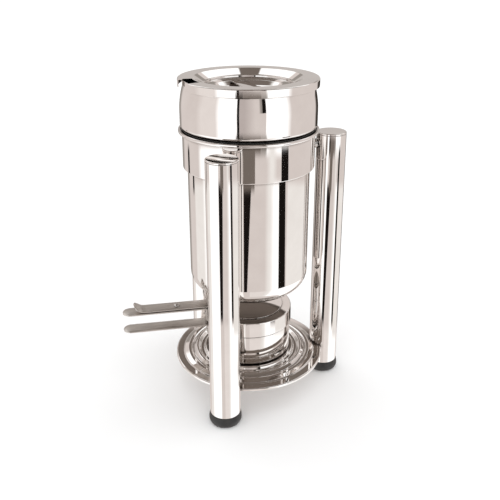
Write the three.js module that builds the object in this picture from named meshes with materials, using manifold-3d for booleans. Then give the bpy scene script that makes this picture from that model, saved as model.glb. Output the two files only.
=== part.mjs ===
// Soup kettle on three legs: a lidded soup pot standing in a water pan, over a draw-out fuel burner.
// Millimetres, +Z up, floor at Z = 0. The kettle's axis stands at X = AXIS_X; leg 2 is on the +X side
// and the burner's handles point towards -X.
import * as THREE from 'three';
import { mergeVertices } from 'three/addons/utils/BufferGeometryUtils.js';
import Module from 'manifold-3d';

const wasm = await Module();
wasm.setup();

// ---- driving dimensions ----
const GAP = 0.3; // clearance between touching pieces
const SHEET = 1.0; // sheet steel of the vessels
const TURN_STEPS = 36; // sides of a large turned piece
const TUBE_STEPS = 24; // sides of a leg

const LEG_RADIUS = 19.05;
const LEG_WALL = 1.2;
const LEG_CIRCLE = 106.7; // kettle axis to leg axis
const LEG_SPREAD = 116.5 * Math.PI / 180; // from leg 2 to leg 1 or leg 3
const LEG_TOP = 344.8;
const FOOT_HEIGHT = 14;
const FOOT_RADIUS = 20.6;
const CAP_THICK = 2.2;
const PLUG_RADIUS = LEG_RADIUS - LEG_WALL - GAP; // of the cap and the foot, inside the tube
const CAP_PLUG = 5; // how far the cap reaches down the tube
const FOOT_PLUG = 11; // how far the foot reaches up it

const PAN_RADIUS = 76.7;
const PAN_BOTTOM = 141.5;
const PAN_CORNER = 25;
const PAN_SEAT = 352.1; // top of the pan's mouth and of the jacket band
const BAND_RADIUS = 82.2;
const BAND_WALL = 1.2;
const BAND_BOTTOM = 307;
const BAND_BEND = 1.2; // outer radius of the band's lower corner
const RIM_RADIUS = 87.1;
const RIM_BEAD = 2.0; // radius of the rim's rolled edge
const RIM_MIDDLE = 353.2;
const RIM_FLAT = 1.6;
const RIM_HOLE = 74.5;

const POT_RADIUS = 72;
const POT_BOTTOM = 160;
const POT_CORNER = 22;
const SHOULDER = 356.6; // underside of the collar, just above the seal
const COLLAR_RADIUS = 84.5; // the collar is the part of the pot that stands above the water pan
const COLLAR_CORNER = 6;
const COLLAR_STRAIGHT = 378; // the collar's wall is upright up to here
const NECK_RADIUS = 80.1;
const NECK_BOTTOM = 408; // the collar has drawn in to the neck here
const SEAL_RADIUS = 82.2;

const LID_TOP = 417;
const LID_RADIUS = 86;
const LID_SKIRT = 9.6;
const SKIRT_DRAFT = 0.3; // how far the skirt draws in towards its lower edge
const WELL_RADIUS = 67; // the brim's inner edge
const LEDGE_RADIUS = 54; // a small step at the foot of the well's wall
const LEDGE_DEPTH = 7.6;
const DIMPLE_RADIUS = 44.8;
const DIMPLE_EDGE_DEPTH = 12; // from the brim down to the dimple's edge
const DIMPLE_DEPTH = 12; // from the dimple's edge down to its bottom
const NOTCH_ANGLE = 193.4 * Math.PI / 180; // the way the ladle notch faces
const NOTCH_HALF = 11.4 * Math.PI / 180;
const BRIDGE_WIDTH = 19; // the bridge is the strap across the dimple
const BRIDGE_ANGLE = 98 * Math.PI / 180;
const BRIDGE_THICK = 1.5;
const BRIDGE_CROWN = 0.5;

const TRAY_RADIUS = 99.5;
const TRAY_TOP = 42.8; // upper face of the outer flange
const TRAY_SHEET = 1.2;
const BURNER_SEAT = 48; // upper face of the raised middle
const SEAT_RADIUS = 59.5;
const TRAY_GROOVE = 44.6; // between the raised middle and the rib round it
const TRAY_RIB = 47.4;
const FLANGE_RADIUS = 90; // inner edge of the outer flange

const CUP_RADIUS = 55.3;
const CUP_BOTTOM = BURNER_SEAT + GAP;
const CUP_TOP = 98.5;
const CUP_NECK = 1.2; // how far the cup draws in under its cover
const COVER_RADIUS = 56.9;
const COVER_TOP = 110.5;
const COVER_SKIRT = 20.5;
const FLAME_HOLE = 36;
const DAMPER_RADIUS = 45;
const DAMPER_Z = COVER_TOP + GAP; // underside of the damper

const BAR_WIDTH = 20;
const BAR_THICK = 2;
const BAR_REACH = 168.5; // kettle axis to the handles' tips
const CUP_BAR_Z = 86; // underside of the cup's handle
const CUP_FLANGE = 16; // how far the handle's flange hangs down the cup
const COVER_BAR_Z = COVER_TOP + GAP; // underside of the cover's handle
const COVER_FLANGE = 17;
const CUP_RIVETS = [CUP_BAR_Z - 11, CUP_BAR_Z - 4.5];
const COVER_RIVETS = [COVER_TOP - 9.2, COVER_TOP - 4];
const RIVET_RADIUS = 1.3;
const RIVET_HEAD = 2.3;
const PIVOT_X = -97.5;
const PIVOT_RADIUS = 2.5;
const PIVOT_HOLE = PIVOT_RADIUS + 0.4;
const WASHER_THICK = 0.8;
const LEVER_Z = COVER_BAR_Z + BAR_THICK + WASHER_THICK + 2 * GAP; // underside of the lever at its pivot
const LEVER_THICK = 1.5;
const LEVER_REACH = 153;
const LEVER_END = 22; // the lever's inner end lies on the damper, this far from the kettle's axis

const BOLT_Z = 330; // bolts that hold the legs to the jacket band
const BOLT_RADIUS = 3;
const BOLT_HOLE = BOLT_RADIUS + GAP;
const BOLT_HEAD = 5; // radius
const BOLT_HEAD_THICK = 3.2;
const BOLT_NUT = 5.7;
const SPACER_RADIUS = 6;
const SCREW_Z = 30; // screws that hold the tray's brackets to the legs
const SCREW_RADIUS = 2.4;
const SCREW_HOLE = SCREW_RADIUS + GAP;
const SCREW_HEAD = 4.3;
const SCREW_HEAD_THICK = 2.8;
const SCREW_NUT = 4.8;
const BRACKET_SHEET = 1.4;
const BRACKET_WIDTH = 16;
const BRACKET_INNER = 60; // kettle axis to the bracket's inner end
const BRACKET_BOTTOM = 21;
const LEG_ANGLES = [-LEG_SPREAD, 0, LEG_SPREAD];

// The box's middle is the origin: the handles reach further than leg 2's foot.
const AXIS_X = (BAR_REACH - (LEG_CIRCLE + FOOT_RADIUS)) / 2;

// ---- materials ----
const finish = {
  polished: { color: 0xd9d2cd, roughness: 0.08, metalness: 1 },
  brushed: { color: 0xb9b0a8, roughness: 0.35, metalness: 1 },
  fastener: { color: 0xa8a29c, roughness: 0.25, metalness: 1 },
  rubber: { color: 0x1c1a19, roughness: 0.75, metalness: 0 },
};

// ---- solids ----
function weld(geometry) {
  const bare = geometry.index ? geometry.toNonIndexed() : geometry;
  bare.deleteAttribute('normal');
  bare.deleteAttribute('uv');
  const merged = mergeVertices(bare, 1e-4);
  const index = merged.index.array;
  const kept = [];
  for (let i = 0; i < index.length; i += 3) {
    const [a, b, c] = [index[i], index[i + 1], index[i + 2]];
    if (a !== b && b !== c && c !== a) kept.push(a, b, c);
  }
  merged.setIndex(kept);
  return merged;
}

function toSolid(geometry) {
  const merged = weld(geometry);
  return new wasm.Manifold(new wasm.Mesh({
    numProp: 3,
    vertProperties: new Float32Array(merged.attributes.position.array),
    triVerts: new Uint32Array(merged.index.array),
  }));
}

function toGeometry(solid) {
  const mesh = solid.getMesh();
  const geometry = new THREE.BufferGeometry();
  geometry.setAttribute('position', new THREE.BufferAttribute(mesh.vertProperties, 3));
  geometry.setIndex(new THREE.BufferAttribute(mesh.triVerts, 1));
  const flat = geometry.toNonIndexed();
  flat.computeVertexNormals();
  return flat;
}

function cut(geometry, ...tools) {
  return toGeometry(tools.reduce((solid, tool) => solid.subtract(toSolid(tool)), toSolid(geometry)));
}

function join(geometry, ...others) {
  return toGeometry(others.reduce((solid, other) => solid.add(toSolid(other)), toSolid(geometry)));
}

function common(geometry, other) {
  return toGeometry(toSolid(geometry).intersect(toSolid(other)));
}

// A profile of [radius, height] pairs turned about the Z axis.
function turned(profile, steps = TURN_STEPS) {
  const points = profile.map(([r, z]) => new THREE.Vector2(r < 0.1 ? 0 : r, z));
  let area = 0;
  points.forEach((p, i) => {
    const q = points[(i + 1) % points.length];
    area += p.x * q.y - q.x * p.y;
  });
  if (area < 0) points.reverse();
  const first = points[0];
  const last = points[points.length - 1];
  if (first.x > 0 || last.x > 0) points.push(first.clone());
  return new THREE.LatheGeometry(points, steps).rotateX(Math.PI / 2);
}

// Points on a quarter turn or any arc, angles in degrees from +R towards +Z.
function arc(r, z, radius, from, to, steps = 5) {
  return Array.from({ length: steps + 1 }, (_, i) => {
    const angle = (from + (to - from) * i / steps) * Math.PI / 180;
    return [r + radius * Math.cos(angle), z + radius * Math.sin(angle)];
  });
}

// Sheet of even thickness under a line of [radius, height] pairs that runs outwards or upwards.
function sheet(line, thick) {
  const normal = line.map((_, i) => {
    const a = line[Math.max(i - 1, 0)];
    const b = line[Math.min(i + 1, line.length - 1)];
    const long = Math.hypot(b[0] - a[0], b[1] - a[1]);
    return [(b[1] - a[1]) / long, -(b[0] - a[0]) / long];
  });
  const under = line.map(([r, z], i) => [r + thick * normal[i][0], z + thick * normal[i][1]]);
  return [...line, ...under.reverse()];
}

function rod(radius, length, steps = 12) {
  return new THREE.CylinderGeometry(radius, radius, length, steps);
}

// A rod along X from x0 to x1 at height z.
function rodX(radius, x0, x1, z = 0, steps = 12) {
  return rod(radius, x1 - x0, steps).rotateZ(-Math.PI / 2).translate((x0 + x1) / 2, 0, z);
}

// A rod along Z from z0 to z1, on the line X = x, Y = y.
function rodZ(radius, z0, z1, x = 0, y = 0, steps = 12) {
  return rod(radius, z1 - z0, steps).rotateX(Math.PI / 2).translate(x, y, (z0 + z1) / 2);
}

function box(x0, x1, y0, y1, z0, z1) {
  return new THREE.BoxGeometry(x1 - x0, y1 - y0, z1 - z0)
    .translate((x0 + x1) / 2, (y0 + y1) / 2, (z0 + z1) / 2);
}

// A strip of even thickness along a line of [x, z] pairs, its width along Y.
function strip(line, thick, width) {
  const outline = sheet(line, thick);
  const shape = new THREE.Shape(outline.map(([x, z]) => new THREE.Vector2(x, z)));
  return new THREE.ExtrudeGeometry(shape, { depth: width, bevelEnabled: false })
    .rotateX(Math.PI / 2)
    .translate(0, width / 2, 0);
}

// A tall block with the plan of a bar: rounded at x0, square at x1.
function barPlan(x0, x1, width, z0, z1) {
  const half = width / 2;
  const shape = new THREE.Shape();
  shape.moveTo(x1, -half);
  shape.lineTo(x1, half);
  shape.lineTo(x0 + half, half);
  shape.absarc(x0 + half, 0, half, Math.PI / 2, Math.PI * 1.5, false);
  shape.closePath();
  return new THREE.ExtrudeGeometry(shape, { depth: z1 - z0, bevelEnabled: false, curveSegments: 6 })
    .translate(0, 0, z0);
}

// ---- the model ----
const kettle = new THREE.Group();
kettle.position.x = AXIS_X;

function add(name, geometry, look, place = {}) {
  const mesh = new THREE.Mesh(geometry, new THREE.MeshStandardMaterial(finish[look]));
  mesh.name = name;
  mesh.position.set(...(place.at ?? [0, 0, 0]));
  mesh.rotation.z = place.turn ?? 0;
  (place.parent ?? kettle).add(mesh);
}

// ---- legs, each with its cap, foot, spacer, bolt and nut ----
function legTube() {
  const z0 = FOOT_HEIGHT + GAP;
  const z1 = LEG_TOP - CAP_THICK - GAP;
  const inner = LEG_RADIUS - LEG_WALL;
  const tube = turned([[inner, z0], [LEG_RADIUS, z0], [LEG_RADIUS, z1], [inner, z1]], TUBE_STEPS);
  const outside = -LEG_RADIUS - 2; // beyond the wall that faces the kettle
  return cut(tube, rodX(BOLT_HOLE, outside, 0, BOLT_Z), rodX(SCREW_HOLE, outside, 0, SCREW_Z));
}

function legCap() {
  const seat = LEG_TOP - CAP_THICK;
  return turned([
    [0, seat - CAP_PLUG], [PLUG_RADIUS - 1, seat - CAP_PLUG], [PLUG_RADIUS, seat - CAP_PLUG + 1],
    [PLUG_RADIUS, seat], [LEG_RADIUS, seat],
    [LEG_RADIUS, LEG_TOP - 1.1], [LEG_RADIUS - 1.1, LEG_TOP], [0, LEG_TOP],
  ], TUBE_STEPS);
}

function foot() {
  const top = FOOT_HEIGHT + FOOT_PLUG;
  return turned([
    [0, 0], [FOOT_RADIUS - 3.5, 0], [FOOT_RADIUS - 0.6, 2.4], [FOOT_RADIUS, FOOT_HEIGHT / 2],
    [LEG_RADIUS + 0.2, FOOT_HEIGHT], [PLUG_RADIUS, FOOT_HEIGHT], [PLUG_RADIUS - 0.6, top], [0, top],
  ], TUBE_STEPS);
}

function hexNut(radius, bore, x0, x1, z) {
  return cut(rodX(radius, x0, x1, z, 6), rodX(bore, x0 - 1, x1 + 1, z));
}

// A round-headed bolt along X, its head on the side of the kettle's axis.
function bolt(radius, headRadius, headX, headLong, tipX, z) {
  const neck = headX + headLong;
  return join(rodX(headRadius, headX, neck, z), rodX(radius, neck - 0.5, tipX, z));
}

// An angle under the tray, its upright against the leg.
function trayBracket(face) {
  const half = BRACKET_WIDTH / 2;
  const top = TRAY_TOP - GAP;
  const angle = join(
    box(BRACKET_INNER, face, -half, half, top - BRACKET_SHEET, top),
    box(face - BRACKET_SHEET, face, -half, half, BRACKET_BOTTOM, top),
  );
  return cut(angle, rodX(SCREW_HOLE, face - 4, face + 2, SCREW_Z));
}

LEG_ANGLES.forEach((angle, i) => {
  const n = i + 1;
  const spoke = new THREE.Group(); // its X axis runs from the kettle's axis to the leg's
  spoke.rotation.z = angle;
  kettle.add(spoke);
  const atLeg = { parent: spoke, at: [LEG_CIRCLE, 0, 0] };
  const atAxis = { parent: spoke };
  const near = LEG_CIRCLE - LEG_RADIUS; // the leg's side that faces the kettle
  add(`leg_${n}`, legTube(), 'polished', atLeg);
  add(`leg_cap_${n}`, legCap(), 'polished', atLeg);
  add(`foot_${n}`, foot(), 'rubber', atLeg);
  const spacer = rodX(SPACER_RADIUS, BAND_RADIUS + GAP, near - GAP, BOLT_Z);
  add(`leg_spacer_${n}`, cut(spacer, rodX(BOLT_HOLE, PAN_RADIUS, near, BOLT_Z)), 'fastener', atAxis);
  const legBolt = bolt(BOLT_RADIUS, BOLT_HEAD, PAN_RADIUS + 0.5, BOLT_HEAD_THICK, near + 11, BOLT_Z);
  add(`leg_bolt_${n}`, legBolt, 'fastener', atAxis);
  const legNut = hexNut(BOLT_NUT, BOLT_HOLE, near + 2.7, near + 7.5, BOLT_Z);
  add(`leg_nut_${n}`, legNut, 'fastener', atAxis);
  add(`tray_bracket_${n}`, trayBracket(near - GAP), 'brushed', atAxis);
  const headX = near - 2 * GAP - BRACKET_SHEET - SCREW_HEAD_THICK;
  const screw = bolt(SCREW_RADIUS, SCREW_HEAD, headX, SCREW_HEAD_THICK, near + 9, SCREW_Z);
  add(`tray_screw_${n}`, screw, 'fastener', atAxis);
  const trayNut = hexNut(SCREW_NUT, SCREW_HOLE, near + 2.3, near + 6.2, SCREW_Z);
  add(`tray_nut_${n}`, trayNut, 'fastener', atAxis);
});

// ---- jacket: water pan, band and rolled rim ----
function waterPan() {
  const flare = BAND_RADIUS - BAND_WALL - GAP - SHEET;
  const wall = PAN_RADIUS - SHEET;
  const line = [
    [0, PAN_BOTTOM + SHEET],
    ...arc(PAN_RADIUS - PAN_CORNER, PAN_BOTTOM + PAN_CORNER, PAN_CORNER - SHEET, -90, 0, 4),
    [wall, PAN_SEAT - 9],
    [flare, PAN_SEAT - 4],
    [flare, PAN_SEAT],
  ];
  return turned(sheet(line, SHEET));
}

function jacketBand() {
  const inner = BAND_RADIUS - BAND_WALL;
  const lip = PAN_RADIUS + GAP;
  const corner = BAND_BOTTOM + BAND_BEND;
  const band = turned([
    [lip, BAND_BOTTOM], ...arc(BAND_RADIUS - BAND_BEND, corner, BAND_BEND, -90, 0, 2),
    [BAND_RADIUS, PAN_SEAT], [inner, PAN_SEAT], [inner, corner],
    [inner - 1.6, BAND_BOTTOM + BAND_WALL + 0.2], [lip, BAND_BOTTOM + BAND_WALL],
  ]);
  const holes = LEG_ANGLES.map((angle) => rodX(BOLT_HOLE, 70, 90, BOLT_Z).rotateZ(angle));
  return cut(band, ...holes);
}

function rimRing() {
  const middle = RIM_RADIUS - RIM_BEAD;
  const half = RIM_FLAT / 2;
  const meet = Math.asin(half / RIM_BEAD) * 180 / Math.PI;
  return turned([
    [RIM_HOLE, RIM_MIDDLE - half],
    ...arc(middle, RIM_MIDDLE, RIM_BEAD, 180 + meet, 540 - meet, 7),
    [RIM_HOLE, RIM_MIDDLE + half],
  ]);
}

add('water_pan', waterPan(), 'polished');
add('jacket_band', jacketBand(), 'polished');
add('rim_ring', rimRing(), 'polished');

// ---- base tray: a pressed saucer, notched round the legs ----
function tray() {
  const line = [
    [0, BURNER_SEAT], [SEAT_RADIUS, BURNER_SEAT],
    [SEAT_RADIUS + 2.5, TRAY_GROOVE], [SEAT_RADIUS + 6, TRAY_GROOVE],
    [SEAT_RADIUS + 9.8, TRAY_RIB], [SEAT_RADIUS + 12.5, TRAY_RIB], [SEAT_RADIUS + 16, TRAY_GROOVE],
    [80, 45.3], [84.5, 44.2], [88, 44],
    [FLANGE_RADIUS, TRAY_TOP], [TRAY_RADIUS - 1.5, TRAY_TOP],
    [TRAY_RADIUS, TRAY_TOP - 1.5], [TRAY_RADIUS, TRAY_TOP - 3.2],
  ];
  const notches = LEG_ANGLES.map((angle) => {
    const x = LEG_CIRCLE * Math.cos(angle);
    const y = LEG_CIRCLE * Math.sin(angle);
    return rodZ(LEG_RADIUS + 2 * GAP, TRAY_TOP - 12, TRAY_TOP + 12, x, y, TUBE_STEPS);
  });
  return cut(turned(sheet(line, TRAY_SHEET)), ...notches);
}

add('base_tray', tray(), 'polished');

// ---- soup pot and its seal ----
function soupPot() {
  const inside = POT_RADIUS - SHEET;
  const rimTop = LID_TOP - SHEET - GAP;
  const drawIn = [0, 0.4, 0.7, 1].map((t) => [
    COLLAR_RADIUS - SHEET - (COLLAR_RADIUS - NECK_RADIUS) * t ** 2,
    COLLAR_STRAIGHT + (NECK_BOTTOM - COLLAR_STRAIGHT) * t,
  ]);
  const line = [
    [0, POT_BOTTOM + SHEET],
    ...arc(POT_RADIUS - POT_CORNER, POT_BOTTOM + POT_CORNER, POT_CORNER - SHEET, -90, 0, 3),
    [inside, SHOULDER - 3], [inside + 3, SHOULDER + SHEET],
    ...arc(COLLAR_RADIUS - COLLAR_CORNER, SHOULDER + COLLAR_CORNER, COLLAR_CORNER - SHEET, -90, 0, 3),
    ...drawIn, [NECK_RADIUS - SHEET, rimTop],
  ];
  return turned(sheet(line, SHEET));
}

function sealRing() {
  const z0 = RIM_MIDDLE + RIM_FLAT / 2 + GAP;
  const z1 = SHOULDER - GAP;
  return turned([
    [RIM_HOLE + 2, z0], [SEAL_RADIUS - 0.6, z0], [SEAL_RADIUS, (z0 + z1) / 2],
    [SEAL_RADIUS - 0.6, z1], [RIM_HOLE + 2, z1],
  ]);
}

add('soup_pot', soupPot(), 'polished');
add('seal_ring', sealRing(), 'rubber');

// ---- lid: flat brim with a skirt, a sloping well, a finger dimple and a strap across it ----
function lidPressing() {
  const ledge = LID_TOP - LEDGE_DEPTH;
  const edge = LID_TOP - DIMPLE_EDGE_DEPTH;
  const bottom = edge - DIMPLE_DEPTH;
  const line = [
    [0, bottom], [24, bottom + 0.8], [37, bottom + 4.6], [DIMPLE_RADIUS - 1.2, edge - 3.4],
    [DIMPLE_RADIUS, edge], [LEDGE_RADIUS - 0.8, ledge - 2.2], [LEDGE_RADIUS, ledge],
    [WELL_RADIUS - 0.4, LID_TOP - 0.5], [WELL_RADIUS + 0.4, LID_TOP],
    [LID_RADIUS - 1.2, LID_TOP], [LID_RADIUS, LID_TOP - 1.2],
    [LID_RADIUS - SKIRT_DRAFT, LID_TOP - LID_SKIRT],
  ];
  return turned(sheet(line, SHEET));
}

// The ladle notch: a wedge of the brim and skirt, between two radii.
function notchTool() {
  const shape = new THREE.Shape();
  const inner = WELL_RADIUS + 1.8;
  const outer = LID_RADIUS + 6;
  shape.absarc(0, 0, outer, NOTCH_ANGLE - NOTCH_HALF, NOTCH_ANGLE + NOTCH_HALF, false);
  shape.absarc(0, 0, inner, NOTCH_ANGLE + NOTCH_HALF, NOTCH_ANGLE - NOTCH_HALF, true);
  shape.closePath();
  return new THREE.ExtrudeGeometry(shape, { depth: 30, bevelEnabled: false, curveSegments: 3 })
    .translate(0, 0, LID_TOP - 20);
}

// The strap spans the dimple, flush with its edge and a little crowned.
function lidBridge() {
  const end = DIMPLE_RADIUS - 2.4;
  const low = LID_TOP - DIMPLE_EDGE_DEPTH + GAP;
  const high = low + BRIDGE_CROWN;
  const line = [[-end, low], [-end / 2, high], [end / 2, high], [end, low]];
  return strip(line, BRIDGE_THICK, BRIDGE_WIDTH);
}

add('lid', cut(lidPressing(), notchTool()), 'polished');
add('lid_bridge', lidBridge(), 'polished', { turn: BRIDGE_ANGLE });

// ---- burner: cup, cover and damper, with their handles ----
// A curved flange on a wall of the given radius, as wide as a bar, on the -X side.
function wallFlange(radius, z0, z1) {
  const ring = turned([[radius, z0], [radius + BAR_THICK, z0], [radius + BAR_THICK, z1], [radius, z1]]);
  return common(ring, box(-radius - 10, -radius + 10, -BAR_WIDTH / 2, BAR_WIDTH / 2, z0 - 1, z1 + 1));
}

// A flat handle, rounded at its tip, with a flange that hangs down the wall it is riveted to.
function handle(wallRadius, z, flangeDown, ...holes) {
  const plan = barPlan(-BAR_REACH, -wallRadius + 4, BAR_WIDTH, z, z + BAR_THICK);
  const hollow = rodZ(wallRadius, z - 5, z + 5, 0, 0, TURN_STEPS);
  const bar = cut(plan, hollow);
  return cut(join(bar, wallFlange(wallRadius, z - flangeDown, z + BAR_THICK)), ...holes);
}

// A rivet along X through a wall, headed on both sides.
function wallRivet(wallInner, flangeOuter, z) {
  const x0 = -flangeOuter - GAP;
  const x1 = -wallInner + 0.5;
  return join(
    rodX(RIVET_RADIUS, x0 - 0.5, x1 + 0.5, z),
    rodX(RIVET_HEAD, x0 - 1.2, x0, z),
    rodX(RIVET_HEAD, x1, x1 + 1, z),
  );
}

// Holes through the walls and flanges on the -X side.
function rivetHoles(levels) {
  return levels.map((z) => rodX(RIVET_RADIUS + GAP, -COVER_RADIUS - 7, -CUP_RADIUS + 7, z));
}

function burnerCup() {
  const wall = CUP_RADIUS - SHEET;
  const shoulder = COVER_TOP - COVER_SKIRT - 1.3;
  const line = [
    [0, CUP_BOTTOM + SHEET],
    ...arc(CUP_RADIUS - 2.5, CUP_BOTTOM + 2.5, 1.5, -90, 0, 1),
    [wall, shoulder], [wall - CUP_NECK, shoulder + 1.4], [wall - CUP_NECK, CUP_TOP],
  ];
  return cut(turned(sheet(line, SHEET)), ...rivetHoles(CUP_RIVETS));
}

function burnerCover() {
  const wall = COVER_RADIUS - SHEET;
  const bottom = COVER_TOP - COVER_SKIRT;
  const cover = turned([
    [FLAME_HOLE, COVER_TOP - SHEET], [wall, COVER_TOP - SHEET], [wall, bottom], [COVER_RADIUS, bottom],
    [COVER_RADIUS, COVER_TOP - 1.2], [COVER_RADIUS - 1.2, COVER_TOP], [FLAME_HOLE, COVER_TOP],
  ]);
  return cut(cover, ...rivetHoles(COVER_RIVETS));
}

function damperDisc() {
  const top = DAMPER_Z + SHEET;
  return turned([[0, DAMPER_Z], [DAMPER_RADIUS, DAMPER_Z], [DAMPER_RADIUS, top], [0, top]]);
}

// The lever steps down onto the damper at its inner end and curls up into a thumb tab at its outer end.
function damperLever() {
  const top = LEVER_Z + LEVER_THICK;
  const low = DAMPER_Z + SHEET + GAP + LEVER_THICK;
  const curl = -LEVER_REACH;
  const line = [
    [curl, top + 8.2], [curl + 3, top + 5.2], [curl + 6.3, top + 2.5], [curl + 9.6, top + 0.7],
    [curl + 13, top], [-DAMPER_RADIUS - 10.5, top], [-DAMPER_RADIUS - 4.5, low], [-LEVER_END, low],
  ];
  const bar = strip(line, LEVER_THICK, BAR_WIDTH);
  const plan = barPlan(curl - 0.6, -LEVER_END + 7, BAR_WIDTH, top - 10, top + 20);
  return cut(common(bar, plan), rodZ(PIVOT_HOLE, top - 10, top + 10, PIVOT_X, 0));
}

function pivotRivet() {
  const z0 = COVER_BAR_Z - GAP;
  const z1 = LEVER_Z + LEVER_THICK + GAP;
  return turned([
    [0, z0 - 1.2], [4, z0 - 1.2], [4, z0], [PIVOT_RADIUS, z0], [PIVOT_RADIUS, z1], [4.2, z1],
    [3.7, z1 + 1.2], [2.2, z1 + 2], [0, z1 + 2.3],
  ], 20).translate(PIVOT_X, 0, 0);
}

function pivotWasher() {
  const z0 = COVER_BAR_Z + BAR_THICK + GAP;
  const z1 = z0 + WASHER_THICK;
  const outer = PIVOT_RADIUS + 4;
  return turned([[PIVOT_HOLE, z0], [outer, z0], [outer, z1], [PIVOT_HOLE, z1]], 12).translate(PIVOT_X, 0, 0);
}

add('burner_cup', burnerCup(), 'polished');
const cupHandle = handle(CUP_RADIUS + GAP, CUP_BAR_Z, CUP_FLANGE, ...rivetHoles(CUP_RIVETS));
add('cup_handle', cupHandle, 'brushed');
add('burner_cover', burnerCover(), 'polished');
const pivotHole = rodZ(PIVOT_HOLE, COVER_BAR_Z - 2, COVER_BAR_Z + BAR_THICK + 2, PIVOT_X, 0);
const coverHoles = [...rivetHoles(COVER_RIVETS), pivotHole];
add('cover_handle', handle(COVER_RADIUS + GAP, COVER_BAR_Z, COVER_FLANGE, ...coverHoles), 'brushed');
add('damper_disc', damperDisc(), 'polished');
add('damper_lever', damperLever(), 'brushed');
add('pivot_rivet', pivotRivet(), 'fastener');
add('pivot_washer', pivotWasher(), 'fastener');

CUP_RIVETS.forEach((z, i) => {
  add(`cup_rivet_${i + 1}`, wallRivet(CUP_RADIUS - SHEET, CUP_RADIUS + GAP + BAR_THICK, z), 'fastener');
});
COVER_RIVETS.forEach((z, i) => {
  const flangeOuter = COVER_RADIUS + GAP + BAR_THICK;
  add(`cover_rivet_${i + 1}`, wallRivet(COVER_RADIUS - SHEET, flangeOuter, z), 'fastener');
});

export default kettle;
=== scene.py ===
"""Looks of the soup kettle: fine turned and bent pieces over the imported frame, in metres."""

import math
from collections import namedtuple
from itertools import accumulate

import bmesh
import bpy
from mathutils import Matrix, Vector


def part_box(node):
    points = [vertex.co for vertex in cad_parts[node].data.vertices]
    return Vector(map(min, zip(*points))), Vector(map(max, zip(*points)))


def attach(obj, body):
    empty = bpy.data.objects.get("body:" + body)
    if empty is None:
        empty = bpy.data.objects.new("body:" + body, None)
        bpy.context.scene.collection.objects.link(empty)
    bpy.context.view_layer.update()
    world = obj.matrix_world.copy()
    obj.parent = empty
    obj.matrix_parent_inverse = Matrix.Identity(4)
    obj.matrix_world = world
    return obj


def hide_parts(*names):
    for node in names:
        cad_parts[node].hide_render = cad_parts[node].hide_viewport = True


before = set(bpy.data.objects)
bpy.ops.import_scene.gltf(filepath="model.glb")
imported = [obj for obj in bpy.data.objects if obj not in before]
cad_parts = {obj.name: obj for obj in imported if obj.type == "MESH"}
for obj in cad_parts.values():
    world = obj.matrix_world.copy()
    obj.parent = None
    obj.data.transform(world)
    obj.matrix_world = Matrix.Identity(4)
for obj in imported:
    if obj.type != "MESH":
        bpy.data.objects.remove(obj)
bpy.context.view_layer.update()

MM = 0.001
TURN_STEPS = 256  # sides of a large turned piece
SMALL_STEPS = 48  # sides of a rivet, screw or washer
ROUND_STEPS = 14  # steps round a quarter of a bar's round end
SHARP = math.radians(32)  # edges that turn more than this stay crisp
BAR_EDGE = 0.35 * MM  # radius of a flat bar's edges
BAR_START = 0.02 * MM  # where a flat bar's first cross-section lies
TOUCHING = 1e-9  # lengths closer than this are taken as equal
GAP = 0.3 * MM  # clearance between pieces that touch
SHEET = 1.0 * MM  # thickness of the pressed sheet
LEG_WALL = 1.2 * MM
PAN_WALL = 76.7 * MM  # radius of the water pan's upright wall
LEGS = (1, 2, 3)


# ---------------------------------------------------------------- measures
def middle(node):
    low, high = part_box(node)
    return (low + high) / 2


def radius(node):
    low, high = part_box(node)
    return (high.y - low.y) / 2


def low_z(node):
    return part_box(node)[0].z


def high_z(node):
    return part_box(node)[1].z


AXIS = middle("water_pan").xy.to_3d()  # where the kettle's axis meets the floor


# ---------------------------------------------------------------- meshes
def piece(name, bm, material, body, slot, *nodes):
    """Makes a mesh piece that rides on a body and stands for its CAD nodes."""
    bmesh.ops.recalc_face_normals(bm, faces=bm.faces)
    mesh = bpy.data.meshes.new(name)
    bm.to_mesh(mesh)
    bm.free()
    obj = bpy.data.objects.new(name, mesh)
    bpy.context.scene.collection.objects.link(obj)
    mesh.materials.append(material)
    mesh.shade_smooth()
    mesh.set_sharp_from_angle(angle=SHARP)
    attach(obj, body)
    if nodes:
        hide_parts(*nodes)
    return obj


def rounded(corners, closed=True, support=0.2 * MM, turn=math.radians(11)):
    """Rounds each (r, z, fillet) corner with an arc, with a point just before and after each arc."""
    count = len(corners)
    out = []
    for i, corner in enumerate(corners):
        r, z, fillet = corner if len(corner) == 3 else (*corner, 0.0)
        here = Vector((r, z))
        if fillet <= 0 or (not closed and i in (0, count - 1)):
            out.append(here)
            continue
        back = Vector(corners[i - 1][:2]) - here
        ahead = Vector(corners[(i + 1) % count][:2]) - here
        half = back.angle(ahead) / 2
        reach = min(fillet / math.tan(half), 0.49 * back.length, 0.49 * ahead.length)
        size = reach * math.tan(half)
        back_way, ahead_way = back.normalized(), ahead.normalized()
        centre = here + (back_way + ahead_way).normalized() * (size / math.sin(half))
        start, end = here + back_way * reach, here + ahead_way * reach
        sweep = math.pi - 2 * half
        steps = max(2, math.ceil(sweep / turn))
        a, b = start - centre, end - centre
        sign = 1 if a.x * b.y - a.y * b.x > 0 else -1
        if reach + support < 0.49 * back.length:
            out.append(start + back_way * support)
        for k in range(steps + 1):
            out.append(centre + Matrix.Rotation(sign * sweep * k / steps, 2) @ a)
        if reach + support < 0.49 * ahead.length:
            out.append(end + ahead_way * support)
    return [(max(p.x, 0.0), p.y) for p in out]


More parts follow.
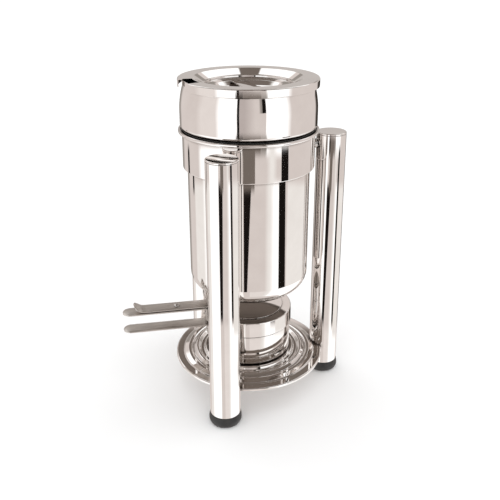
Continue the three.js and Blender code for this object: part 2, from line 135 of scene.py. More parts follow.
def turned(profile, centre=AXIS, steps=TURN_STEPS):
    """Turns a closed list of (r, z) points about a vertical axis."""
    bm = bmesh.new()
    rings = []
    for r, z in profile:
        if r < 1e-6:
            rings.append([bm.verts.new((centre.x, centre.y, z))])
            continue
        rings.append([
            bm.verts.new((
                centre.x + r * math.cos(2 * math.pi * k / steps),
                centre.y + r * math.sin(2 * math.pi * k / steps),
                z,
            ))
            for k in range(steps)
        ])
    for ring, after in zip(rings, rings[1:] + rings[:1]):
        if len(ring) == 1 and len(after) == 1:
            continue
        for k in range(steps):
            m = (k + 1) % steps
            corners = [row[j % len(row)] for row, j in ((ring, k), (ring, m), (after, m), (after, k))]
            bm.faces.new(list(dict.fromkeys(corners)))
    return bm


def skin(line, thick):
    """A closed outline: the line, then the same line moved by the sheet's thickness to its right."""
    points = [Vector(p) for p in line]
    under = []
    for i, p in enumerate(points):
        a, b = points[max(i - 1, 0)], points[min(i + 1, len(points) - 1)]
        along = (b - a).normalized()
        offset = Vector((along.y, -along.x)) * thick
        r = 0.0 if p.x < 1e-6 else max(p.x + offset.x, 0.0)
        under.append((r, p.y + offset.y))
    return [tuple(p) for p in points] + under[::-1]


def bar_stations(points, half, round_start):
    """The (point, upward direction, half width) of each cross-section along a flat bar."""
    lengths = [(q - p).length for p, q in zip(points, points[1:])]
    marks = {BAR_START, *accumulate(lengths)}
    if round_start:
        quarter = math.pi / 2 / ROUND_STEPS
        marks |= {half * (1 - math.cos(quarter * k)) for k in range(1, ROUND_STEPS + 1)}
    stations = []
    for mark in sorted(marks):
        run, i = mark, 0
        while i < len(lengths) - 1 and run > lengths[i] + TOUCHING:
            run -= lengths[i]
            i += 1
        along = (points[i + 1] - points[i]).normalized()
        spot = points[i] + along * run
        if abs(run - lengths[i]) < TOUCHING and i < len(lengths) - 1:
            along = (along + (points[i + 2] - points[i + 1]).normalized()).normalized()
        wide = half
        if round_start and mark < half:
            wide = math.sqrt(half ** 2 - (half - mark) ** 2)
        stations.append((spot, Vector((-along.y, along.x)), wide))
    return stations


def bar(path, width, thick, round_start=True):
    """A flat bar along a line of (x, z) points, its width along Y, with soft edges."""
    bm = bmesh.new()
    rings = []
    for spot, up, wide in bar_stations([Vector(p) for p in path], width / 2, round_start):
        soft = min(BAR_EDGE, wide * 0.9)
        ring = []
        for side, face, start in ((1, 1, 0), (-1, 1, 90), (-1, -1, 180), (1, -1, 270)):
            for k in range(4):
                angle = math.radians(start + 30 * k)
                y = side * (wide - soft) + soft * math.cos(angle)
                height = face * (thick / 2 - BAR_EDGE) + BAR_EDGE * math.sin(angle)
                x, z = spot + up * height
                ring.append(bm.verts.new((x, y, z)))
        rings.append(ring)
    for ring, after in zip(rings, rings[1:]):
        for k in range(len(ring)):
            m = (k + 1) % len(ring)
            bm.faces.new((ring[k], ring[m], after[m], after[k]))
    bm.faces.new(rings[0])
    bm.faces.new(rings[-1])
    return bm


def cylinder(r, start, end, steps=64):
    """A closed cylinder between two points, used as a cutting tool."""
    bm = bmesh.new()
    axis = end - start
    bmesh.ops.create_cone(bm, cap_ends=True, segments=steps, radius1=r, radius2=r, depth=axis.length)
    turn = axis.to_track_quat("Z", "Y").to_matrix().to_4x4()
    bmesh.ops.transform(bm, matrix=Matrix.Translation((start + end) / 2) @ turn, verts=bm.verts)
    return bm


def cut(bm, tool):
    """Cuts one closed mesh with another and gives the result back as a bmesh."""
    made = []
    for source in (bm, tool):
        bmesh.ops.recalc_face_normals(source, faces=source.faces)
        mesh = bpy.data.meshes.new("work")
        source.to_mesh(mesh)
        source.free()
        obj = bpy.data.objects.new("work", mesh)
        bpy.context.scene.collection.objects.link(obj)
        made.append(obj)
    modifier = made[0].modifiers.new("cut", "BOOLEAN")
    modifier.operation = "DIFFERENCE"
    modifier.solver = "EXACT"
    modifier.object = made[1]
    bpy.context.view_layer.update()
    result = bmesh.new()
    evaluated = made[0].evaluated_get(bpy.context.evaluated_depsgraph_get())
    result.from_mesh(evaluated.to_mesh())
    evaluated.to_mesh_clear()
    for obj in made:
        mesh = obj.data
        bpy.data.objects.remove(obj)
        bpy.data.meshes.remove(mesh)
    return result


# ---------------------------------------------------------------- materials
def new_material(name):
    material = bpy.data.materials.new(name)
    material.use_nodes = True
    nodes = material.node_tree.nodes
    nodes.clear()
    shader = nodes.new("ShaderNodeBsdfPrincipled")
    output = nodes.new("ShaderNodeOutputMaterial")
    material.node_tree.links.new(shader.outputs["BSDF"], output.inputs["Surface"])
    return material, nodes, material.node_tree.links, shader


def noise(nodes, links, scale, stretch=(1, 1, 1), detail=3.0, rough=0.5):
    """Noise over the object's own coordinates, stretched along its axes."""
    place = nodes.new("ShaderNodeTexCoord")
    mapping = nodes.new("ShaderNodeMapping")
    mapping.inputs["Scale"].default_value = stretch
    texture = nodes.new("ShaderNodeTexNoise")
    texture.inputs["Scale"].default_value = scale
    texture.inputs["Detail"].default_value = detail
    texture.inputs["Roughness"].default_value = rough
    links.new(place.outputs["Object"], mapping.inputs["Vector"])
    links.new(mapping.outputs["Vector"], texture.inputs["Vector"])
    return texture.outputs["Fac"]


def spread(nodes, links, value, low, high, from_low=0.3, from_high=0.7):
    """Maps a noise value to a range."""
    node = nodes.new("ShaderNodeMapRange")
    node.inputs["From Min"].default_value = from_low
    node.inputs["From Max"].default_value = from_high
    node.inputs["To Min"].default_value = low
    node.inputs["To Max"].default_value = high
    links.new(value, node.inputs["Value"])
    return node.outputs["Result"]


def tint(nodes, links, value, dark, light, from_low=0.35, from_high=0.65):
    """A colour between two tints."""
    ramp = nodes.new("ShaderNodeValToRGB")
    ramp.color_ramp.elements[0].position = from_low
    ramp.color_ramp.elements[1].position = from_high
    ramp.color_ramp.elements[0].color = (*dark, 1)
    ramp.color_ramp.elements[1].color = (*light, 1)
    links.new(value, ramp.inputs["Fac"])
    return ramp.outputs["Color"]


def bumps(nodes, links, shader, *layers):
    """Chains (height, strength, distance) bump layers into the shader's normal."""
    normal = None
    for height, strength, distance in layers:
        bump = nodes.new("ShaderNodeBump")
        bump.inputs["Strength"].default_value = strength
        bump.inputs["Distance"].default_value = distance
        links.new(height, bump.inputs["Height"])
        if normal:
            links.new(normal, bump.inputs["Normal"])
        normal = bump.outputs["Normal"]
    links.new(normal, shader.inputs["Normal"])


POLISHED = ((0.86, 0.83, 0.81), (0.90, 0.875, 0.855))
SATIN = ((0.53, 0.497, 0.468), (0.73, 0.69, 0.65))
MACHINED = ((0.55, 0.53, 0.51), (0.74, 0.72, 0.70))
BLACK_RUBBER = ((0.013, 0.012, 0.0115), (0.030, 0.028, 0.026))
PAINTED_CORNER_SHADE = (0.16, 0.135, 0.12, 1)  # painted shade: the colour that corners, creases and gaps darken towards, by ambient occlusion
SCORCHED = (0.24, 0.21, 0.185, 1)  # the pan's underside, over the flame
SCORCHED_ROUGHNESS = (0.38, 0.38, 0.38, 1)


def polished_steel(name="polished_steel"):
    """Mirror-polished sheet: faint polishing lines, soft smears, slight ripple, and painted shade that
    darkens its corners and gaps by ambient occlusion.
    """
    material, nodes, links, shader = new_material(name)
    shader.inputs["Metallic"].default_value = 1.0
    smears = noise(nodes, links, 38, detail=4, rough=0.6)
    # painted shade: ambient occlusion within 5 mm darkens the base colour in corners, creases and gaps
    # between parts
    corner_occlusion = nodes.new("ShaderNodeAmbientOcclusion")
    corner_occlusion.samples = 8
    corner_occlusion.inputs["Distance"].default_value = 5 * MM
    shade = nodes.new("ShaderNodeMix")
    shade.data_type = "RGBA"
    open_air = spread(nodes, links, corner_occlusion.outputs["AO"], 0, 1, 0.42, 0.96)
    links.new(open_air, shade.inputs["Factor"])
    shade.inputs["A"].default_value = PAINTED_CORNER_SHADE
    links.new(tint(nodes, links, smears, *POLISHED), shade.inputs["B"])
    links.new(shade.outputs["Result"], shader.inputs["Base Color"])
    links.new(spread(nodes, links, smears, 0.02, 0.045), shader.inputs["Roughness"])
    ripple = noise(nodes, links, 16, detail=1)
    lines = noise(nodes, links, 900, stretch=(1, 1, 7), detail=2)
    bumps(nodes, links, shader, (ripple, 0.05, 0.6 * MM), (lines, 0.02, 0.05 * MM))
    return material


def brushed_steel():
    """Satin bar stock: fine grain along the bar, which lies along X, with soft patches."""
    material, nodes, links, shader = new_material("brushed_steel_x")
    shader.inputs["Metallic"].default_value = 1.0
    grain = noise(nodes, links, 700, stretch=(0.04, 1, 1), detail=4, rough=0.65)
    patches = noise(nodes, links, 60, detail=3)
    mixed = nodes.new("ShaderNodeMath")
    mixed.operation = "ADD"
    links.new(spread(nodes, links, grain, 0.0, 0.7), mixed.inputs[0])
    links.new(spread(nodes, links, patches, 0.0, 0.3), mixed.inputs[1])
    total = mixed.outputs["Value"]
    links.new(tint(nodes, links, total, *SATIN, 0.2, 0.8), shader.inputs["Base Color"])
    links.new(spread(nodes, links, total, 0.26, 0.42, 0.0, 1.0), shader.inputs["Roughness"])
    bumps(nodes, links, shader, (grain, 0.25, 0.06 * MM), (patches, 0.1, 0.2 * MM))
    return material


def bright_steel():
    """Turned or pressed fasteners."""
    material, nodes, links, shader = new_material("fastener_steel")
    shader.inputs["Metallic"].default_value = 1.0
    marks = noise(nodes, links, 500, detail=4)
    links.new(tint(nodes, links, marks, *MACHINED), shader.inputs["Base Color"])
    links.new(spread(nodes, links, marks, 0.14, 0.28), shader.inputs["Roughness"])
    bumps(nodes, links, shader, (marks, 0.15, 0.08 * MM))
    return material


def black_rubber():
    """Moulded rubber: matte, finely grained, a little dusty."""
    material, nodes, links, shader = new_material("black_rubber")
    dust = noise(nodes, links, 90, detail=5)
    grain = noise(nodes, links, 1500, detail=2)
    links.new(tint(nodes, links, dust, *BLACK_RUBBER), shader.inputs["Base Color"])
    links.new(spread(nodes, links, dust, 0.42, 0.62), shader.inputs["Roughness"])
    bumps(nodes, links, shader, (grain, 0.3, 0.1 * MM))
    return material


def pan_steel():
    """The water pan's steel: mirror-polished, with a dull, heat-darkened underside over the burner."""
    material = polished_steel("pan_steel")
    nodes, links = material.node_tree.nodes, material.node_tree.links
    shader = nodes["Principled BSDF"]
    place = nodes.new("ShaderNodeTexCoord")
    split = nodes.new("ShaderNodeSeparateXYZ")
    links.new(place.outputs["Object"], split.inputs["Vector"])
    bottom = low_z("water_pan")
    heat = spread(nodes, links, split.outputs["Z"], 1, 0, bottom + 1.5 * MM, bottom + 5 * MM)
    for socket, dull in (("Base Color", SCORCHED), ("Roughness", SCORCHED_ROUGHNESS)):
        source = shader.inputs[socket].links[0].from_socket
        mix = nodes.new("ShaderNodeMix")
        mix.data_type = "RGBA"
        links.new(heat, mix.inputs["Factor"])
        links.new(source, mix.inputs["A"])
        mix.inputs["B"].default_value = dull
        links.new(mix.outputs["Result"], shader.inputs[socket])
    return material


STEEL = polished_steel()
PAN_STEEL = pan_steel()
BRUSHED = brushed_steel()
FASTENER = bright_steel()
RUBBER = black_rubber()


# ---------------------------------------------------------------- legs and feet
LEG_RADIUS = radius("leg_2")
LEG_STEPS = 160


def leg(n):
    node = f"leg_{n}"
    inner = LEG_RADIUS - LEG_WALL
    bottom, top = low_z(node), high_z(node)
    outline = rounded([
        (inner, bottom), (LEG_RADIUS, bottom, 0.4 * MM), (LEG_RADIUS, top, 0.25 * MM), (inner, top),
    ])
    tube = turned(outline, middle(node), LEG_STEPS)
    piece(f"leg_tube_{n}", tube, STEEL, "stand", "polished_steel", node)


def leg_cap(n):
    node = f"leg_cap_{n}"
    bottom, top = low_z(node), high_z(node)
    seat = high_z(f"leg_{n}") + GAP
    plug = LEG_RADIUS - LEG_WALL - GAP
    outline = rounded([
        (0, bottom), (plug, bottom, 0.5 * MM), (plug, seat), (LEG_RADIUS, seat, 0.25 * MM),
        (LEG_RADIUS, top, 1.3 * MM), (0, top),
    ], closed=False)
    cap = turned(outline, middle(node), LEG_STEPS)
    piece(f"leg_end_cap_{n}", cap, STEEL, "stand", "polished_steel", node)


def foot(n):
    node = f"foot_{n}"
    r = radius("foot_2") - 0.06 * MM
    collar = low_z(f"leg_{n}") - GAP
    plug_top = high_z(node)
    outline = rounded([
        (0, 0), (r - 2.2 * MM, 0, 2.6 * MM), (r, 4.5 * MM, 6 * MM), (r, 8 * MM, 6 * MM),
        (LEG_RADIUS + 0.3 * MM, collar, 0.5 * MM), (LEG_RADIUS - 1.6 * MM, collar),
        (LEG_RADIUS - 2.2 * MM, plug_top, 1 * MM), (0, plug_top),
    ], closed=False)
    rubber = turned(outline, middle(f"leg_{n}"), 128)
    piece(f"rubber_foot_{n}", rubber, RUBBER, "stand", "rubber", node)


for n in LEGS:
    leg(n)
    leg_cap(n)
    foot(n)


# ---------------------------------------------------------------- jacket
def water_pan():
    flare = radius("water_pan")
    bottom, top = low_z("water_pan"), high_z("water_pan")
    line = rounded([
        (0, bottom), (PAN_WALL, bottom, 25 * MM), (PAN_WALL, top - 9 * MM, 3 * MM),
        (flare, top - 4 * MM, 2 * MM), (flare, top),
    ], closed=False)
    outline = skin(line[::-1], SHEET)[::-1]
    piece("jacket_pan", turned(outline), PAN_STEEL, "stand", "polished_steel", "water_pan")


def jacket_band():
    outer = radius("jacket_band")
    inner = outer - 1.2 * MM
    bottom, top = low_z("jacket_band"), high_z("jacket_band")
    lip = PAN_WALL + GAP
    outline = rounded([
        (lip, bottom, 0.3 * MM), (outer, bottom, 1.1 * MM), (outer, top, 0.3 * MM), (inner, top),
        (inner, bottom + 1.2 * MM, 2 * MM), (lip, bottom + 1.2 * MM, 0.3 * MM),
    ])
    piece("band", turned(outline), STEEL, "stand", "polished_steel", "jacket_band")


def rim_ring():
    outer = radius("rim_ring")
    z = middle("rim_ring").z
    bead = 2.0 * MM  # half the rolled bead's height
    flat = 0.8 * MM  # half the flat ring's thickness
    hole = 74.5 * MM
    root, neck = outer - 2 * bead, outer - 1.6 * bead
    outline = rounded([
        (hole, z - flat, 0.3 * MM), (root, z - flat, 0.5 * MM), (neck, z - bead, 1 * MM),
        (outer, z - bead, 1.95 * MM), (outer, z + bead, 1.95 * MM), (neck, z + bead, 1 * MM),
        (root, z + flat, 0.5 * MM), (hole, z + flat, 0.3 * MM),
    ])
    piece("rolled_rim", turned(outline), STEEL, "stand", "polished_steel", "rim_ring")


water_pan()
jacket_band()
rim_ring()


# ---------------------------------------------------------------- base tray
def base_tray():
    edge = radius("base_tray")
    bottom, seat = low_z("base_tray"), high_z("base_tray")
    flange = bottom + 3.2 * MM
    groove, ridge = seat - 3.4 * MM, seat - 0.4 * MM
    gutter, step, slope_end = seat - 3.6 * MM, seat - 2.5 * MM, seat - 3.8 * MM
    line = rounded([
        (0, seat), (60.2 * MM, seat, 1.5 * MM),
        (61.8 * MM, groove, 1.2 * MM), (65.8 * MM, groove, 1.5 * MM),
        (69.6 * MM, ridge, 1.6 * MM), (72.2 * MM, ridge, 1.6 * MM),
        (75.4 * MM, gutter, 1.2 * MM), (77.2 * MM, gutter, 1 * MM),
        (79.2 * MM, step, 2.5 * MM), (83 * MM, step, 3.5 * MM), (88.6 * MM, slope_end, 1.2 * MM),
        (89.8 * MM, flange, 0.8 * MM), (edge, flange, 1.6 * MM), (edge, bottom),
    ], closed=False)
    bm = turned(skin(line, 1.2 * MM))
    for n in LEGS:
        spot = middle(f"leg_{n}").xy.to_3d()
        tool = cylinder(LEG_RADIUS + 0.35 * MM, spot, spot + Vector((0, 0, 100 * MM)), LEG_STEPS)
        bm = cut(bm, tool)
    piece("saucer", bm, STEEL, "stand", "polished_steel", "base_tray")


base_tray()


# ---------------------------------------------------------------- pot and seal
def soup_pot():
    top, bottom = high_z("soup_pot"), low_z("soup_pot")
    collar = radius("soup_pot")
    neck = 80.1 * MM
    vessel = 72 * MM
    shoulder = low_z("seal_ring") + 2.3 * MM
    straight, drawn = top - 37.7 * MM, top - 7.7 * MM  # the collar curves in between these heights
    line = rounded([
        (0, bottom), (vessel, bottom, 22 * MM), (vessel, shoulder - 3 * MM, 2 * MM),
        (vessel + 3 * MM, shoulder, 2 * MM), (collar, shoulder, 6 * MM), (collar, straight),
    ], closed=False, turn=math.radians(5))
    steps = 24
    for k in range(1, steps + 1):
        t = k / steps
        line.append((collar - (collar - neck) * t ** 2, straight + (drawn - straight) * t))
    line += [(neck, drawn + 2 * MM), (neck, top - 0.4 * MM)]
    outline = skin(line[::-1], SHEET)[::-1]
    piece("pot", turned(outline), STEEL, "pot", "polished_steel", "soup_pot")


def seal():
    outer = radius("seal_ring")
    low, high = low_z("seal_ring"), high_z("seal_ring")
    inner = 76.5 * MM
    outline = rounded([
        (inner, low, 0.2 * MM), (outer, low, 0.8 * MM), (outer, high, 0.8 * MM), (inner, high, 0.2 * MM),
    ])
    piece("seal", turned(outline), RUBBER, "pot", "rubber", "seal_ring")


soup_pot()
seal()


# ---------------------------------------------------------------- lid
def lid():
    r = radius("lid")
    top = high_z("lid")
    ledge = top - 7.6 * MM
    edge = top - 12 * MM
    bottom = edge - 12 * MM
    skirt = top - 9.6 * MM
    line = rounded([
        (0, bottom), (24 * MM, bottom + 0.6 * MM, 60 * MM), (39 * MM, edge - 6.4 * MM, 9 * MM),
        (43.9 * MM, edge - 1.2 * MM, 1.5 * MM), (45 * MM, edge, 0.9 * MM),
        (53.4 * MM, ledge - 2.2 * MM, 0.5 * MM), (54 * MM, ledge + 0.1 * MM, 0.7 * MM),
        (56 * MM, ledge + 0.5 * MM, 2 * MM), (66.8 * MM, top, 1.3 * MM), (r, top, 1.5 * MM),
        (r - 0.3 * MM, skirt, 0.2 * MM),
    ], closed=False)
    bm = cut(turned(skin(line, SHEET)), ladle_notch(68.8 * MM, r + 6 * MM, top - 20 * MM, top + 10 * MM))
    piece("lid_pressing", bm, STEEL, "lid_set", "polished_steel", "lid")


def ladle_notch(inner, outer, low, high):
    """The tool that cuts the ladle's notch: a block between two radii and two heights."""
    facing, half, steps = math.radians(193.4), math.radians(11.4), 8
    bm = bmesh.new()
    ends = []
    for level in (low, high):
        ring = []
        for reach, order in ((outer, range(steps + 1)), (inner, range(steps, -1, -1))):
            for k in order:
                angle = facing - half + 2 * half * k / steps
                x, y = reach * math.cos(angle), reach * math.sin(angle)
                ring.append(bm.verts.new((AXIS.x + x, AXIS.y + y, level)))
        bm.faces.new(ring)
        ends.append(ring)
    bottom, top = ends
    for k in range(len(bottom)):
        m = (k + 1) % len(bottom)
        bm.faces.new((bottom[k], bottom[m], top[m], top[k]))
    return bm


def strap():
    """A flat strip across the dimple, flush with its edge and a little crowned."""
    low, high = low_z("lid_bridge"), high_z("lid_bridge")
    thick = 1.5 * MM
    end = 42.4 * MM
    z_middle = high - thick / 2
    z_end = max(low + thick / 2, z_middle - 0.2 * MM)
    line = [(end * t, z_middle + (z_end - z_middle) * t * t) for t in (k / 8 for k in range(-8, 9))]
    bm = bar(line, 19 * MM, thick, round_start=False)
    turn = Matrix.Rotation(math.radians(98), 4, "Z")
    bmesh.ops.transform(bm, matrix=Matrix.Translation(AXIS) @ turn, verts=bm.verts)
    piece("lid_strap", bm, STEEL, "lid_set", "polished_steel", "lid_bridge")


lid()
strap()


# ---------------------------------------------------------------- burner
HANDLE_WIDTH = 20 * MM
HANDLE_THICK = 2 * MM


def burner_cup():
    r = radius("burner_cup")
    bottom, top = low_z("burner_cup"), high_z("burner_cup")
    shoulder = low_z("burner_cover") - 1.3 * MM  # the cup draws in a little under the cover's skirt
    neck = r - 1.2 * MM
    line = rounded([
        (0, bottom), (r, bottom, 2.5 * MM), (r, shoulder, 0.3 * MM),
        (neck, shoulder + 0.5 * MM, 0.3 * MM), (neck, high_z("cup_handle")), (neck, top),
    ], closed=False)
    outline = skin(line[::-1], SHEET)[::-1]
    piece("cup", turned(outline), STEEL, "burner", "polished_steel", "burner_cup")


def burner_cover():
    r = radius("burner_cover")
    bottom, top = low_z("burner_cover"), high_z("burner_cover")
    hole = 36 * MM
    outline = rounded([
        (hole, top - SHEET), (r - SHEET, top - SHEET, 0.6 * MM), (r - SHEET, bottom, 0.3 * MM),
        (r, bottom, 0.4 * MM), (r, top, 1.4 * MM), (hole, top, 0.3 * MM),
    ])
    piece("cover", turned(outline), STEEL, "cover", "polished_steel", "burner_cover")


def damper_disc():
    r = radius("damper_disc")
    low, high = low_z("damper_disc"), high_z("damper_disc")
    outline = rounded([(0, low), (r, low, 0.2 * MM), (r, high, 0.35 * MM), (0, high)], closed=False)
    piece("damper_plate", turned(outline), STEEL, "damper", "polished_steel", "damper_disc")


def handle(name, node, body, wall_node, down):
    """A flat bar, bent down at the wall that it is riveted to."""
    z = high_z(node) - HANDLE_THICK / 2
    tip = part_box(node)[0].x
    wall = AXIS.x - radius(wall_node) - GAP - HANDLE_THICK / 2
    bend = 2.6 * MM
    corner = []
    for degrees in range(0, 91, 15):
        angle = math.radians(degrees)
        corner.append((wall - bend + bend * math.sin(angle), z - bend + bend * math.cos(angle)))
    bm = bar([(tip, z), (tip + 12 * MM, z), *corner, (wall, z - down)], HANDLE_WIDTH, HANDLE_THICK)
    piece(name, bm, BRUSHED, body, "brushed_steel", node)


def rivet(name, node, body, wall_node):
    """A domed rivet head on the -X side of a wall, and its flat end inside."""
    out = radius(wall_node) + GAP + HANDLE_THICK
    z = middle(node).z
    head, shank, tail = 2.4 * MM, 1.3 * MM, 2.3 * MM
    outline = rounded([
        (0, -3.9 * MM), (tail, -3.9 * MM, 0.4 * MM), (tail, -3 * MM), (shank, -3 * MM),
        (shank, 0.3 * MM), (head, 0.3 * MM, 0.2 * MM), (1.9 * MM, 1.2 * MM, 0.7 * MM), (0, 1.5 * MM),
    ], closed=False)
    bm = turned(outline, Vector((0, 0, 0)), SMALL_STEPS)
    turn = Matrix.Rotation(math.radians(-90), 4, "Y")
    bmesh.ops.transform(bm, matrix=Matrix.Translation((AXIS.x - out, AXIS.y, z)) @ turn, verts=bm.verts)
    piece(name, bm, FASTENER, body, "fastener_steel", node)


PIVOT_HOLE = 2.9 * MM  # these are the radii at the damper's pivot
PIVOT_SHANK = 2.5 * MM
PIVOT_TAIL = 4 * MM
WASHER_RADIUS = 6.5 * MM


def damper_lever():
    """The lever bends down to the disc at its inner end, and its outer end turns up for the thumb."""
    thick = 1.5 * MM
    low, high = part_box("damper_lever")
    flat = high_z("pivot_washer") + GAP + thick / 2
    inner = high_z("damper_disc") + GAP + thick / 2
    tip = low.x
    a = AXIS.x
    line = [
        (tip, high.z - 0.3 * MM), (tip + 3 * MM, flat + 4.6 * MM), (tip + 6.2 * MM, flat + 2.1 * MM),
        (tip + 9.4 * MM, flat + 0.6 * MM), (tip + 12.4 * MM, flat + 0.1 * MM), (tip + 15 * MM, flat),
        (a - 55.5 * MM, flat), (a - 49.5 * MM, inner), (a - 22 * MM, inner),
    ]
    pin = middle("pivot_rivet").xy.to_3d()
    through = Vector((0, 0, 10 * MM))
    level = Vector((0, 0, flat))
    hole = cylinder(PIVOT_HOLE, pin + level - through, pin + level + through)
    bm = cut(bar(line, HANDLE_WIDTH, thick), hole)
    piece("thumb_lever", bm, BRUSHED, "damper", "brushed_steel", "damper_lever")


def pivot():
    node = "pivot_rivet"
    low, high = low_z(node), high_z(node)
    head = high - 2.3 * MM
    tail_top = low + 1.2 * MM
    outline = rounded([
        (0, low), (PIVOT_TAIL, low, 0.4 * MM), (PIVOT_TAIL, tail_top), (PIVOT_SHANK, tail_top),
        (PIVOT_SHANK, head), (4.3 * MM, head, 0.3 * MM), (3.9 * MM, head + 1.3 * MM, 1.2 * MM), (0, high),
    ], closed=False)
    pin = turned(outline, middle(node), SMALL_STEPS)
    piece("pivot_pin", pin, FASTENER, "cover", "fastener_steel", node)


def washer():
    node = "pivot_washer"
    low, high = low_z(node), high_z(node)
    edge = 0.2 * MM
    outline = rounded([
        (PIVOT_HOLE, low, edge), (WASHER_RADIUS, low, edge),
        (WASHER_RADIUS, high, edge), (PIVOT_HOLE, high, edge),
    ])
    ring = turned(outline, middle(node), SMALL_STEPS)
    piece("washer", ring, FASTENER, "cover", "fastener_steel", node)


burner_cup()
burner_cover()
damper_disc()
handle("cup_bar", "cup_handle", "burner", "burner_cup", 17 * MM)
handle("cover_bar", "cover_handle", "cover", "burner_cover", 18 * MM)
for n in (1, 2):
    rivet(f"cup_pin_{n}", f"cup_rivet_{n}", "burner", "burner_cup")
    rivet(f"cover_pin_{n}", f"cover_rivet_{n}", "cover", "burner_cover")
damper_lever()
pivot()
washer()


# ---------------------------------------------------------------- carried-over CAD pieces
CARRIED_OVER = {
    "leg_spacer": FASTENER, "leg_bolt": FASTENER, "leg_nut": FASTENER,
    "tray_screw": FASTENER, "tray_nut": FASTENER, "tray_bracket": BRUSHED,
}
for n in LEGS:
    for name, material in CARRIED_OVER.items():
        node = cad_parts[f"{name}_{n}"]
        node.data.materials.clear()
        node.data.materials.append(material)


# ---------------------------------------------------------------- camera
CAMERA_TURN = math.radians(10.43)  # the camera stands this far round from the -Y side, towards -X
CAMERA_DISTANCE = 0.8097
CAMERA_HEIGHT = 0.5552
CAMERA_DIP = 0.351
CAMERA_YAW = 0.002  # the camera looks just to the right of the kettle's axis
CAMERA_LENS = 48.4
CAMERA_SHIFT = -0.1


def make_camera():
    data = bpy.data.cameras.new("camera")
    data.sensor_width = 36
    data.lens = CAMERA_LENS
    data.shift_y = CAMERA_SHIFT
    data.clip_start = 0.01
    obj = bpy.data.objects.new("camera", data)
    bpy.context.scene.collection.objects.link(obj)
    away = Vector((-math.sin(CAMERA_TURN), -math.cos(CAMERA_TURN), 0))
    obj.location = AXIS + away * CAMERA_DISTANCE + Vector((0, 0, CAMERA_HEIGHT))
    across = Vector((-away.y, away.x, 0))
    level = (-away + across * math.tan(CAMERA_YAW)).normalized()
    gaze = level * math.cos(CAMERA_DIP) - Vector((0, 0, math.sin(CAMERA_DIP)))
    obj.rotation_euler = gaze.to_track_quat("-Z", "Y").to_euler()
    bpy.context.scene.camera = obj


# ---------------------------------------------------------------- floor and studio
def make_floor():
    bm = bmesh.new()
    bmesh.ops.create_grid(bm, x_segments=1, y_segments=1, size=40)
    mesh = bpy.data.meshes.new("floor")
    bm.to_mesh(mesh)
    bm.free()
    obj = bpy.data.objects.new("floor", mesh)
    bpy.context.scene.collection.objects.link(obj)
    material, nodes, links, shader = new_material("pale_floor")
    grain = noise(nodes, links, 4, detail=2)
    links.new(tint(nodes, links, grain, (0.93,) * 3, (0.95,) * 3), shader.inputs["Base Color"])
    shader.inputs["Roughness"].default_value = 0.9
    mesh.materials.append(material)
    obj.visible_glossy = False


# The studio as seen from the kettle, in degrees: azimuth is 0 towards the camera and positive to its right,
# elevation is 0 at the horizon. An edge is (azimuth at the panel's bottom, azimuth at its top), and later
# panels cover earlier ones.
EDGE_FADE = 0.7  # degrees over which a panel's edges blend, unless it says otherwise
Panel = namedtuple(
    "Panel", "left right bottom top colour left_fade right_fade rise_fade", defaults=(EDGE_FADE,) * 3,
)
WARM_WALL = (0.740, 0.675, 0.645)
PINK_WALL = (0.86, 0.80, 0.77)
PALE_WALL = (0.93, 0.90, 0.87)
SHADED_WALL = (0.54, 0.48, 0.46)
BRIGHT = (1.30, 1.30, 1.30)
MID_GREY = (0.58, 0.54, 0.515)
GREY_BROWN = (0.34, 0.31, 0.285)
BROWN = (0.185, 0.155, 0.135)
DARK_BROWN = (0.045, 0.036, 0.030)
BLACK = (0.010, 0.008, 0.007)
DEEP = -60  # panels that run down over the sweep
HIGH = 29  # the elevation of the tall panels' tops
FLAG = -15.9  # the elevation at which the tall panels give way to those near the floor
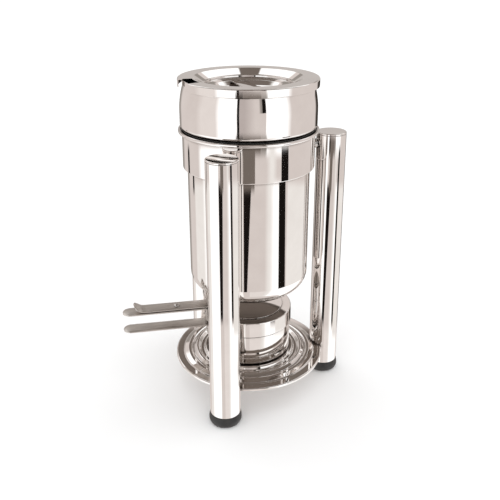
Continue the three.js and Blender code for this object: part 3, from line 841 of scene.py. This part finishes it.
STUDIO_PANELS = (
    # the wall behind the kettle, by height, up to the ceiling
    Panel((-181, -181), (-135, -135), 4, 15, MID_GREY, 0.7, 20),
    Panel((135, 135), (181, 181), 4, 15, MID_GREY, 20, 0.7),
    Panel((-181, -181), (-135, -135), 15.6, 24, GREY_BROWN, 0.7, 20),
    Panel((135, 135), (181, 181), 15.6, 24, GREY_BROWN, 20, 0.7),
    Panel((-181, -181), (181, 181), 38.5, 90, GREY_BROWN),
    # the ceiling: two soft boxes beyond the kettle with a gap between them, dark over the camera
    Panel((-181, -181), (-115, -115), 34, 90, BRIGHT, 0.7, 12, 3),
    Panel((115, 115), (181, 181), 34, 90, BRIGHT, 12, 0.7, 3),
    Panel((-181, -181), (-168, -143), 31, 90, BROWN, 0.7, 3),
    Panel((168, 149), (181, 181), 31, 90, BROWN, 3, 0.7),
    Panel((-108, -108), (108, 108), 30.5, 90, BROWN, 10, 10),
    # tall panels
    Panel((-90, -82), (-49, -49), FLAG, HIGH, PINK_WALL, 12, 6),
    Panel((-52, -52), (-14, -14), FLAG, HIGH, BRIGHT, 7, 3),
    Panel((-18.7, -18.7), (-14.7, -14.7), FLAG, HIGH, BLACK),
    Panel((-14.7, -14.7), (2, 2), FLAG, HIGH, SHADED_WALL, 0.7, 18),
    Panel((18, 18), (21.7, 21.7), 1, HIGH, GREY_BROWN, 3, 0.7),
    Panel((21.7, 21.7), (28, 28), 1, HIGH, BLACK),
    Panel((28, 28), (69, 69), FLAG, HIGH, BRIGHT, 0.7, 9),
    # the dark gap between them, just above the floor
    Panel((-20.8, -20.8), (-9, -9), FLAG, -15, DARK_BROWN),
    Panel((-9, -9), (21.2, 21.2), FLAG, -15, BROWN, 0.7, 4),
    Panel((21.2, 21.2), (30, 30), FLAG, -15, GREY_BROWN),
    # panels near the floor
    Panel((-128.6, -128.6), (-122.5, -122.5), -19, FLAG, BLACK),
    Panel((-121, -121), (-88, -88), DEEP, -19, PALE_WALL, 4, 8),
    Panel((-92, -92), (-23, -23), DEEP, FLAG, BRIGHT, 8, 2),
    Panel((-23, -23), (-5, 4.5), -30, -19, BLACK),
    Panel((-9.5, -9.5), (10.6, 10.6), -19, FLAG, BROWN),
    Panel((2, 2), (34, 34), DEEP, -31, PINK_WALL, 0.7, 8),
    Panel((34, 34), (44, 46), DEEP, FLAG, PALE_WALL, 8, 8),
    Panel((44, 44), (62, 60), DEEP, -19, BRIGHT, 8, 0.7),
    Panel((60, 57), (75.5, 71), -30, FLAG, BLACK),
    Panel((60, 60), (130, 130), DEEP, -31, BRIGHT, 2, 12),
    Panel((77, 77), (131, 131), -31, -19, PALE_WALL, 1.5, 8),
    Panel((144, 144), (177, 177), -30, -5, DARK_BROWN, 8, 3),
    Panel((-177, -177), (-148, -148), -30, 3, GREY_BROWN, 3, 10),
)


def make_world():
    """A studio all round the kettle: warm walls with bright panels and dark flags, and a white sweep."""
    world = bpy.data.worlds.new("studio")
    bpy.context.scene.world = world
    world.use_nodes = True
    nodes, links = world.node_tree.nodes, world.node_tree.links
    nodes.clear()

    def connect(socket, value):
        if isinstance(value, (int, float)):
            socket.default_value = value
        else:
            links.new(value, socket)

    def calculate(operation, a, b=0.0):
        node = nodes.new("ShaderNodeMath")
        node.operation = operation
        connect(node.inputs[0], a)
        connect(node.inputs[1], b)
        return node.outputs["Value"]

    def fade(value, low, high, at_low=0.0, at_high=1.0):
        node = nodes.new("ShaderNodeMapRange")
        for socket, number in zip(("Value", "From Min", "From Max", "To Min", "To Max"),
                                  (value, low, high, at_low, at_high)):
            connect(node.inputs[socket], number)
        return node.outputs["Result"]

    place = nodes.new("ShaderNodeTexCoord")
    split = nodes.new("ShaderNodeSeparateXYZ")
    links.new(place.outputs["Generated"], split.inputs["Vector"])
    x, y, z = split.outputs
    turn = 90 + math.degrees(CAMERA_TURN)
    bearing = calculate("MULTIPLY", calculate("ARCTAN2", y, x), 180 / math.pi)
    node = nodes.new("ShaderNodeMath")
    node.operation = "WRAP"
    links.new(calculate("ADD", bearing, turn), node.inputs[0])
    node.inputs[1].default_value = 180
    node.inputs[2].default_value = -180
    azimuth = node.outputs["Value"]
    elevation = calculate("MULTIPLY", calculate("ARCSINE", z), 180 / math.pi)

    base = nodes.new("ShaderNodeRGB")
    base.outputs[0].default_value = (*WARM_WALL, 1)
    result = base.outputs[0]
    for panel in STUDIO_PANELS:
        low, high = panel.bottom, panel.top
        soft = panel.rise_fade
        inside = calculate("MULTIPLY", fade(elevation, low - soft, low), fade(elevation, high + soft, high))
        from_left = calculate("SUBTRACT", azimuth, fade(elevation, low, high, *panel.left))
        from_right = calculate("SUBTRACT", fade(elevation, low, high, *panel.right), azimuth)
        for distance, soft in ((from_left, panel.left_fade), (from_right, panel.right_fade)):
            inside = calculate("MULTIPLY", inside, fade(distance, -soft / 2, soft / 2))
        mix = nodes.new("ShaderNodeMix")
        mix.data_type = "RGBA"
        links.new(inside, mix.inputs["Factor"])
        links.new(result, mix.inputs["A"])
        mix.inputs["B"].default_value = (*panel.colour, 1)
        result = mix.outputs["Result"]

    studio = nodes.new("ShaderNodeBackground")
    links.new(result, studio.inputs["Color"])
    path = nodes.new("ShaderNodeLightPath")
    shader = studio.outputs["Background"]
    for ray, level in (("Is Diffuse Ray", 1.22), ("Is Camera Ray", 1.0)):
        plain = nodes.new("ShaderNodeBackground")
        plain.inputs["Color"].default_value = (1, 1, 1, 1)
        plain.inputs["Strength"].default_value = level
        choose = nodes.new("ShaderNodeMixShader")
        links.new(path.outputs[ray], choose.inputs["Fac"])
        links.new(shader, choose.inputs[1])
        links.new(plain.outputs["Background"], choose.inputs[2])
        shader = choose.outputs["Shader"]
    output = nodes.new("ShaderNodeOutputWorld")
    links.new(shader, output.inputs["Surface"])
    world.cycles.sampling_method = "NONE"
    bpy.context.scene.view_settings.view_transform = "Standard"


make_camera()
make_floor()
make_world()
